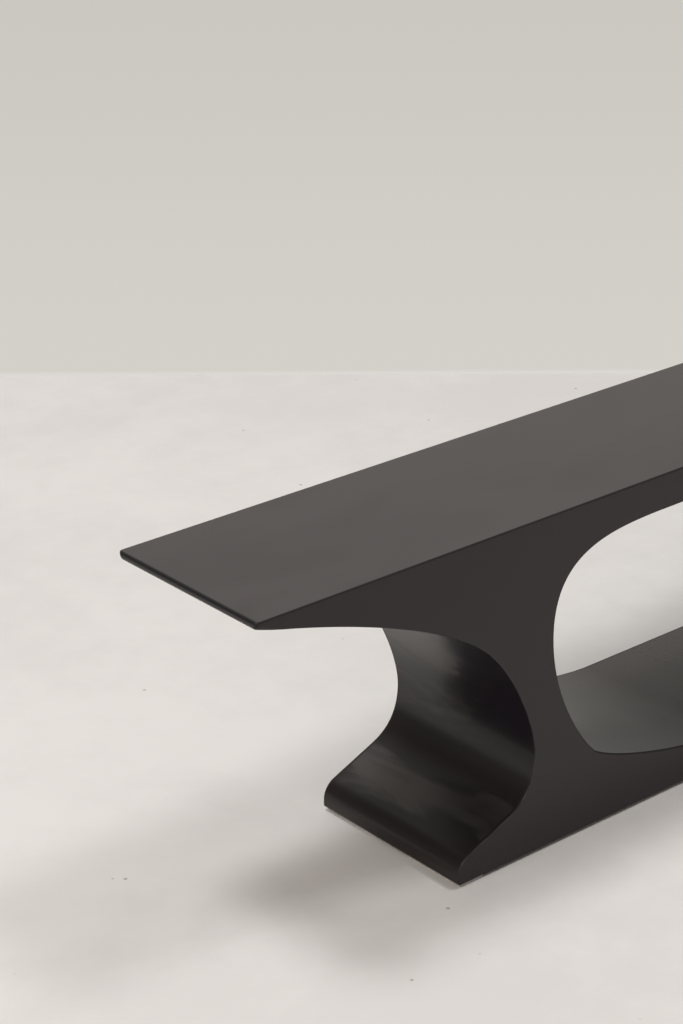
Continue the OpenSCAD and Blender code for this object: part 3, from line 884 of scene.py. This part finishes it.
def nose_ring(depth, profile, side):
    """The nose bar's outline across the bench, at a depth behind its tip."""
    size = bpy.context.scene.bench_sizes
    shape = bpy.context.scene.bench_profile
    half_width = size.bench_width / 2 - rounded(depth, shape.nose_corner_r)
    top_z = size.seat_height - rounded(depth, shape.nose_top_r)
    under = profile.overhang
    if depth < under[0, 0]:
        low_z = under[0, 1] + shape.nose_bottom_r * (math.cos(shape.nose_fall) - 1.0)
        low_z += rounded(depth, shape.nose_bottom_r)
    else:
        low_z = float(np.interp(depth, under[:, 0], under[:, 1]))
    sharpened = max(0.0, 1.0 - depth / size.nose_depth)**NOSE_SHARPENING
    low_ease = size.arris + (size.nose_keel - size.arris) * sharpened
    tall = top_z - low_z
    eases = {1: min(size.seat_arris, UPPER_SHARE * tall), -1: min(low_ease, LOWER_SHARE * tall)}
    x = side * (profile.half_length - depth)
    ring = []
    for corner in range(4):
        y_side = REAR if corner in (0, 3) else FRONT
        z_side = 1 if corner < 2 else -1
        ease = eases[z_side]
        centre_y = y_side * (half_width - ease)
        centre_z = top_z - ease if z_side > 0 else low_z + ease
        for i in range(ARRIS_STEPS + 1):
            turn = QUARTER * (corner + i / ARRIS_STEPS)
            ring.append((x, centre_y + ease * math.cos(turn), centre_z + ease * math.sin(turn)))
    return ring


def nose_marks(depth, nose_top_r):
    """How the points of a nose ring are marked: painted shade, smooth at the tip, and matt dark arrises
    behind.
    """
    tip = max(0.0, 1.0 - depth / nose_top_r)
    marks = []
    for corner in range(4):
        for i in range(ARRIS_STEPS + 1):
            arris = math.sin(math.pi * i / ARRIS_STEPS) if corner < 2 else 0.0
            marks.append(SMOOTH_SHADE_TIP * tip + MATT_SHADE_EDGE * (1.0 - tip) * arris)
    return marks


def ring_normals(rings):
    """Normals of a lofted skin, from its own points."""
    places = np.array(rings)
    around = np.roll(places, -1, axis=1) - np.roll(places, 1, axis=1)
    along = np.gradient(places, axis=0)
    normals = np.cross(around, along)
    return normals / np.maximum(np.linalg.norm(normals, axis=2, keepdims=True), WELD**2)


def nose_bar(side):
    """The solid bar at one tip of the seat, rounded in section and in plan."""
    size = bpy.context.scene.bench_sizes
    shape = bpy.context.scene.bench_profile
    profile = Profile(bpy.context.scene)
    form = Form()
    drawn_in = [1.0 - math.cos(QUARTER * i / BEND_STEPS) for i in range(BEND_STEPS + 1)]
    rounds = (shape.nose_top_r, shape.nose_bottom_r, shape.nose_corner_r)
    depths = {round(radius * part, 7) for radius in rounds for part in drawn_in}
    depths.update(np.linspace(shape.nose_corner_r, size.nose_depth, NOSE_RINGS).tolist())
    depths = sorted(depth for depth in depths if depth <= size.nose_depth)
    rings = [nose_ring(depth, profile, side) for depth in depths]
    normals = ring_normals(rings)
    normals = normals if side == LEFT else -normals
    edges = [nose_marks(depth, shape.nose_top_r) for depth in depths]
    form.band(rings, normals, edges, closed=True)
    form.flat(rings[0], (side, 0, 0))
    form.flat(rings[-1], (-side, 0, 0))
    return form


def skin_form(path, lies):
    """A sheet between the side plates along a path in x and z.

    Lies is 1 where the sheet is on the left of the path, and -1 where it is on the right.
    """
    size = bpy.context.scene.bench_sizes
    form = Form()
    half = size.bench_width / 2 - size.side_plate_t
    into = lies * left_of(path[:, 2:])
    shown = path[:, :2]
    hidden = shown + size.skin_t * into
    for points, ways in ((shown, -into), (hidden, into)):
        form.band([across(points, -half), across(points, half)], [across(ways)] * 2)
    for y in (-half, half):
        form.band([across(shown, y), across(hidden, y)], [[(0, y, 0)] * len(path)] * 2)
    for end, sign in ((0, -1), (-1, 1)):
        x, z = sign * path[end, 2:]
        butt = [(points[end, 0], y, points[end, 1]) for points, y in (
            (shown, -half), (shown, half), (hidden, half), (hidden, -half))]
        form.flat(butt, (x, 0, z))
    return form


def rolled_skins(profile, part, path, lies):
    """Builds the skins that are rolled along one path of the profile, one at each end."""
    left = profile.along_x(path)
    for side, end in ENDS:
        node = f"{end}_{part}_skin"
        form = skin_form(left if side == LEFT else mirrored(left), lies)
        form.piece(f"{node}_rolled", node, finish_of(SKIN_FINISH, blackened_skin))


def felt_pad(node):
    """A pad of pressed felt with a slightly bulging, ragged edge, where a packed pad is."""
    size = bpy.context.scene.bench_sizes
    felt = bpy.context.scene.felt_finish
    low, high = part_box(node)
    form = Form()
    outline = []
    near_x, near_y = low.x + PAD_CORNER_R, low.y + PAD_CORNER_R
    far_x, far_y = high.x - PAD_CORNER_R, high.y - PAD_CORNER_R
    centres = ((far_x, far_y), (near_x, far_y), (near_x, near_y), (far_x, near_y))
    for corner, centre in enumerate(centres):
        for i in range(BEND_STEPS + 1):
            turn = QUARTER * (corner + i / BEND_STEPS)
            outline.append((*centre, math.cos(turn), math.sin(turn)))
        following = QUARTER * (corner + 1)
        outline.append((*centre, math.cos(following), math.sin(following)))
    outline = np.array(outline)
    rim = outline[:, :2] + PAD_CORNER_R * outline[:, 2:]
    rim, ways = evenly_spaced(rim, outline[:, 2:], PAD_SPACING)
    first, second = [np.sin(rim[:, 0] * along + rim[:, 1] * over) for along, over in PAD_WAVES]
    wander = felt.raggedness * 0.5 * (1.0 + first * second)
    rows = []
    normals = []
    for level in np.linspace(0.0, 1.0, PAD_LEVELS):
        belly = 1.0 - (2.0 * level - 1.0)**2
        drawn_in = felt.bulge * (1.0 - belly) + wander
        points = rim - ways * drawn_in[:, None]
        lean = PAD_LEAN * (2.0 * level - 1.0)
        rows.append([(x, y, level * size.pad_t) for x, y in points])
        normals.append([(x, y, lean) for x, y in ways])
    form.band(rows, normals, closed=True)
    form.flat(rows[0], (0, 0, -1))
    form.flat(rows[-1], (0, 0, 1))
    return form


def evenly_spaced(rim, ways, spacing):
    """The points of a closed outline, with more put in where two lie far apart."""
    places = []
    turned = []
    for i in range(len(rim)):
        following = (i + 1) % len(rim)
        count = max(1, int(np.linalg.norm(rim[following] - rim[i]) / spacing))
        for k in range(count):
            part = k / count
            places.append(rim[i] + part * (rim[following] - rim[i]))
            way = ways[i] + part * (ways[following] - ways[i])
            turned.append(way / np.linalg.norm(way))
    return np.array(places), np.array(turned)


class BENCH_OT_side_plates(bpy.types.Operator):
    """Builds the two side plates with their eased outer edges."""

    bl_idname = "bench.side_plates"
    bl_label = "Side plates"

    def execute(self, context):
        material = finish_of(PLATE_FINISH, blackened_plate)
        for face, name in FACES:
            node = f"{name}_side_plate"
            side_plate(face).piece(f"{node}_eased", node, material)
        return {"FINISHED"}


class BENCH_OT_seat_plate(bpy.types.Operator):
    """Builds the seat plate with its eased long edges."""

    bl_idname = "bench.seat_plate"
    bl_label = "Seat plate"

    def execute(self, context):
        material = finish_of(PLATE_FINISH, blackened_plate)
        seat_plate().piece("seat_plate_eased", "seat_plate", material)
        return {"FINISHED"}


class BENCH_OT_nose_bars(bpy.types.Operator):
    """Builds the rounded bar at each tip of the seat."""

    bl_idname = "bench.nose_bars"
    bl_label = "Nose bars"

    def execute(self, context):
        material = finish_of(PLATE_FINISH, blackened_plate)
        for side, end in ENDS:
            node = f"{end}_nose_bar"
            nose_bar(side).piece(f"{node}_rounded", node, material)
        return {"FINISHED"}


class BENCH_OT_end_skins(bpy.types.Operator):
    """Builds the rolled skins of both ends: overhang, leg and toe."""

    bl_idname = "bench.end_skins"
    bl_label = "End skins"

    def execute(self, context):
        profile = Profile(context.scene)
        overhang = cut_from(profile.overhang, context.scene.bench_sizes.nose_depth)
        for part, path in (("overhang", overhang), ("leg", profile.leg), ("toe", profile.toe)):
            rolled_skins(profile, part, path, 1)
        return {"FINISHED"}


class BENCH_OT_opening_skins(bpy.types.Operator):
    """Builds the rolled skins of the opening: its two cheeks and its floor."""

    bl_idname = "bench.opening_skins"
    bl_label = "Opening skins"

    def execute(self, context):
        profile = Profile(context.scene)
        rolled_skins(profile, "cheek", profile.cheek, -1)
        form = skin_form(profile.rail(), -1)
        form.piece("rail_skin_rolled", "rail_skin", finish_of(SKIN_FINISH, blackened_skin))
        return {"FINISHED"}


class BENCH_OT_flat_and_inner_steel(bpy.types.Operator):
    """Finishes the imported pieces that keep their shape: ceiling, base plate and ribs."""

    bl_idname = "bench.flat_and_inner_steel"
    bl_label = "Ceiling, base plate and ribs"

    def execute(self, context):
        skin = finish_of(SKIN_FINISH, blackened_skin)
        mill = finish_of(MILL_FINISH, mill_steel)
        for name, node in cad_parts.items():
            if name in ("ceiling_skin", "base_plate"):
                finish_node(node, skin)
            elif name.endswith("_rib"):
                finish_node(node, mill)
        return {"FINISHED"}


class BENCH_OT_felt_pads(bpy.types.Operator):
    """Builds the four felt pads under the foot."""

    bl_idname = "bench.felt_pads"
    bl_label = "Felt pads"

    def execute(self, context):
        material = finish_of("pressed felt", pressed_felt)
        for corner in [f"{face}_{end}" for _, face in FACES for _, end in ENDS]:
            node = f"{corner}_pad"
            made = felt_pad(node).piece(f"{corner}_felt", node, material, FELT_SLOT)
        return {"FINISHED"}


class BENCH_OT_stage(bpy.types.Operator):
    """Sets up the floor, the backdrop, the lamps and the camera."""

    bl_idname = "bench.stage"
    bl_label = "Stage"

    def execute(self, context):
        stage = context.scene.stage_settings
        add_camera(context.scene)
        add_floor_and_wall(stage)
        add_lamps(context.scene, stage)
        context.scene.view_settings.view_transform = "Standard"
        return {"FINISHED"}


class BENCH_PT_panel(bpy.types.Panel):
    """Lists the steps that build the bench, and its sizes."""

    bl_label = "Bench"
    bl_space_type = "VIEW_3D"
    bl_region_type = "UI"
    bl_category = "Bench"

    def draw(self, context):
        layout = self.layout
        for step in STEPS:
            layout.operator(step.bl_idname)
        for group in GROUPS:
            box = layout.box()
            box.label(text=group.replace("_", " ").capitalize())
            settings = getattr(context.scene, group)
            for name in settings.bl_rna.properties.keys():
                if name not in ("rna_type", "name"):
                    box.prop(settings, name)


def finish_node(node, material):
    """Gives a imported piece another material."""
    node.data.materials.clear()
    node.data.materials.append(material)


def aimed(turn, rise):
    """The direction at a turn from +Y towards +X, and at a rise above the level."""
    return Vector((math.sin(turn) * math.cos(rise), math.cos(turn) * math.cos(rise), math.sin(rise)))


def camera_place(stage):
    """Where the camera stands."""
    return Vector((
        NOSE_LOW.x - stage.camera_beyond_nose, -stage.camera_in_front, stage.camera_height))


def add_camera(scene):
    """Puts the camera at the photograph's place and angle."""
    stage = scene.stage_settings
    ahead = aimed(stage.camera_yaw, -stage.camera_pitch)
    level = Vector((math.cos(stage.camera_yaw), -math.sin(stage.camera_yaw), 0.0))
    above = level.cross(ahead)
    right = math.cos(stage.camera_roll) * level + math.sin(stage.camera_roll) * above
    up = math.cos(stage.camera_roll) * above - math.sin(stage.camera_roll) * level
    data = bpy.data.cameras.new("camera")
    data.sensor_width = SENSOR_MM
    data.lens = stage.focal_pixels * SENSOR_MM / PHOTO_HEIGHT
    data.clip_end = VIEW_REACH
    camera = bpy.data.objects.new("camera", data)
    camera.matrix_world = Matrix.LocRotScale(
        camera_place(stage), Matrix((right, up, -ahead)).transposed(), None)
    scene.collection.objects.link(camera)
    scene.camera = camera


def stage_sheet(name, corners, material):
    """A flat sheet of the stage."""
    mesh = bpy.data.meshes.new(name)
    mesh.from_pydata(corners, [], [range(len(corners))])
    mesh.materials.append(material)
    made = bpy.data.objects.new(name, mesh)
    bpy.context.scene.collection.objects.link(made)


def add_floor_and_wall(stage):
    """A wide floor, and a wall almost square to the view behind the bench."""
    far = FLOOR_REACH
    corners = [(-far, -far, 0.0), (far, -far, 0.0), (far, far, 0.0), (-far, far, 0.0)]
    stage_sheet("floor", corners, finish_of("pale floor", pale_floor))
    ahead = aimed(stage.camera_yaw, 0.0)
    turn = stage.camera_yaw + stage.wall_turn
    sideways = Vector((math.cos(turn), -math.sin(turn), 0.0))
    foot = camera_place(stage) + stage.wall_distance * ahead
    foot.z = 0.0
    rise = Vector((0.0, 0.0, WALL_HEIGHT))
    left = foot - WALL_HALF_WIDTH * sideways
    right = foot + WALL_HALF_WIDTH * sideways
    corners = [left, right, right + rise, left + rise]
    stage_sheet("wall", corners, finish_of("pale wall", pale_wall))


def add_lamp(scene, name, power, colour, way, size):
    """A soft square lamp that looks at the bench's left end from one way."""
    data = bpy.data.lights.new(name, "AREA")
    data.color = colour
    data.shape = "SQUARE"
    data.energy = power
    data.size = size
    lamp = bpy.data.objects.new(name, data)
    target = Vector((NOSE_LOW.x + LAMP_AIM, 0.0, 0.0))
    lamp.matrix_world = Matrix.LocRotScale(
        target + LAMP_DISTANCE * way, (-way).to_track_quat("-Z", "Y"), None)
    lamp.visible_camera = False
    scene.collection.objects.link(lamp)


def add_lamps(scene, stage):
    """Light from all round, and three soft lamps, each with its turn, its rise and its side."""
    scene.world = studio_air(stage)
    for name, power, colour, turn, rise, side in (
            ("rear lamp", stage.rear_lamp, stage.lamp_tone, 307, 75, 1.9),
            ("front lamp", stage.front_lamp, stage.lamp_tone, 122, 65, 1.9),
            ("side lamp", stage.side_lamp, stage.side_lamp_tone, 264, 40, 5.1)):
        add_lamp(scene, name, power, colour, aimed(math.radians(turn), math.radians(rise)), side)


STEPS = (
    BENCH_OT_side_plates, BENCH_OT_seat_plate, BENCH_OT_nose_bars, BENCH_OT_end_skins,
    BENCH_OT_opening_skins, BENCH_OT_flat_and_inner_steel, BENCH_OT_felt_pads, BENCH_OT_stage)
GROUPS = {
    "bench_sizes": BenchSizes, "bench_profile": BenchProfile, "steel_finish": SteelFinish,
    "felt_finish": FeltFinish, "stage_settings": StageSettings}


def register():
    """Registers the settings, the operators and the panel."""
    for name, group in GROUPS.items():
        bpy.utils.register_class(group)
        setattr(bpy.types.Scene, name, bpy.props.PointerProperty(type=group))
    for step in STEPS:
        bpy.utils.register_class(step)
    bpy.utils.register_class(BENCH_PT_panel)


def unregister():
    """Takes back what register added."""
    bpy.utils.unregister_class(BENCH_PT_panel)
    for step in reversed(STEPS):
        bpy.utils.unregister_class(step)
    for name, group in reversed(GROUPS.items()):
        delattr(bpy.types.Scene, name)
        bpy.utils.unregister_class(group)


def main():
    """Builds the bench and its stage."""
    register()
    bpy.ops.bench.stage()
    bpy.ops.bench.side_plates()
    bpy.ops.bench.seat_plate()
    bpy.ops.bench.nose_bars()
    bpy.ops.bench.end_skins()
    bpy.ops.bench.opening_skins()
    bpy.ops.bench.flat_and_inner_steel()
    bpy.ops.bench.felt_pads()


if __name__ == "__main__":
    main()
